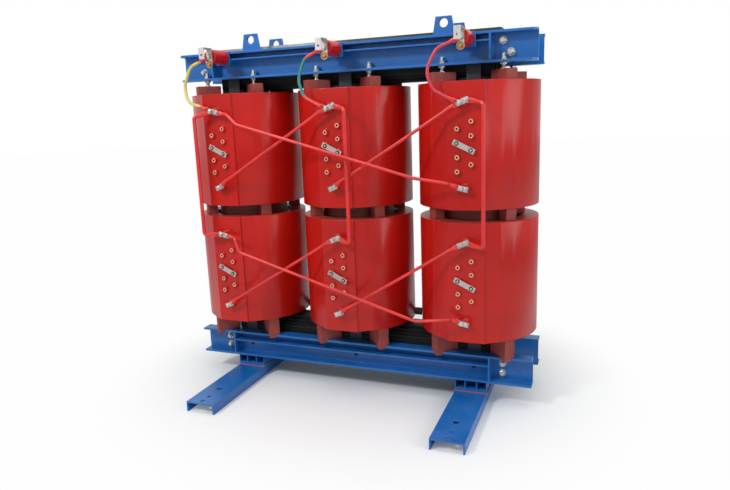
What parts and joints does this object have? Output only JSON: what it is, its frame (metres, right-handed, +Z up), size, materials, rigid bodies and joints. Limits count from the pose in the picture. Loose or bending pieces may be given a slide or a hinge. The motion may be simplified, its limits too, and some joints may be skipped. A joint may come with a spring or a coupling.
{
  "type": "dry type transformer",
  "caption": "Three-phase cast-resin dry-type transformer on rails: stacked high-voltage coils around a clamped core, delta links, tap panels, post insulators and lifting eyes.",
  "frame": {"origin": "floor, under the middle of the centre limb", "axes": "+X along the three coils to the right, -Y towards the tap and terminal side, +Z up"},
  "size_m": [2.112, 1.53, 2.117],
  "materials": {
    "frame_blue": "semi-gloss royal blue paint",
    "pad_rubber": "matt red elastomer",
    "tie_steel": "dark painted flat steel",
    "core_black": "black varnished laminations",
    "lv_winding": "impregnated foil winding",
    "resin_red": "glossy cast resin",
    "block_resin": "matt moulded resin",
    "brass": "machined brass",
    "link_red": "red shrink sleeve",
    "lead_yellow": "yellow phase sleeve with red ends",
    "lead_green": "green phase sleeve with red ends",
    "lead_red": "red sleeve",
    "tinned": "tin-plated copper",
    "aluminium": "bright aluminium flat bar",
    "zinc": "zinc-plated steel"
  },
  "bodies": {
    "root": {"cable_lugs": "tinned", "core_limb_centre": "core_black", "core_limb_left": "core_black", "core_limb_right": "core_black", "core_yoke_lower": "core_black", "core_yoke_upper": "core_black", "cross_rod_nuts": "zinc", "cross_rods_lower": "zinc", "cross_rods_upper": "zinc", "foot_blocks": "block_resin", "hv_coil_lower_centre": "resin_red", "hv_coil_lower_left": "resin_red", "hv_coil_lower_right": "resin_red", "hv_coil_upper_centre": "resin_red", "hv_coil_upper_left": "resin_red", "hv_coil_upper_right": "resin_red", "insulator_brackets": "frame_blue", "insulators": "resin_red", "lead_a": "lead_yellow", "lead_b": "lead_green", "lead_c": "lead_red", "lifting_lugs": "frame_blue", "link_lower_a_to_c": "link_red", "link_lower_b_to_a": "link_red", "link_lower_c_to_b": "link_red", "link_upper_a_to_c": "link_red", "link_upper_b_to_a": "link_red", "link_upper_c_to_b": "link_red", "lower_clamp_front": "frame_blue", "lower_clamp_rear": "frame_blue", "lv_bars": "aluminium", "lv_coil_centre": "lv_winding", "lv_coil_left": "lv_winding", "lv_coil_right": "lv_winding", "lv_star_bar": "aluminium", "pedestal_left": "frame_blue", "pedestal_right": "frame_blue", "pressing_studs": "zinc", "rail_left": "frame_blue", "rail_pads": "pad_rubber", "rail_right": "frame_blue", "riser_a": "link_red", "riser_b": "link_red", "riser_c": "link_red", "spacer_blocks": "block_resin", "strap_bolts": "zinc", "stud_nuts": "zinc", "tap_inserts": "brass", "tap_link_bolts": "zinc", "tap_links": "tinned", "terminal_bars": "tinned", "terminal_bolts": "zinc", "terminal_straps": "aluminium", "tie_plates_front": "tie_steel", "tie_plates_rear": "tie_steel", "top_blocks": "block_resin", "upper_clamp_front": "frame_blue", "upper_clamp_rear": "frame_blue"}
  },
  "joints": []
}
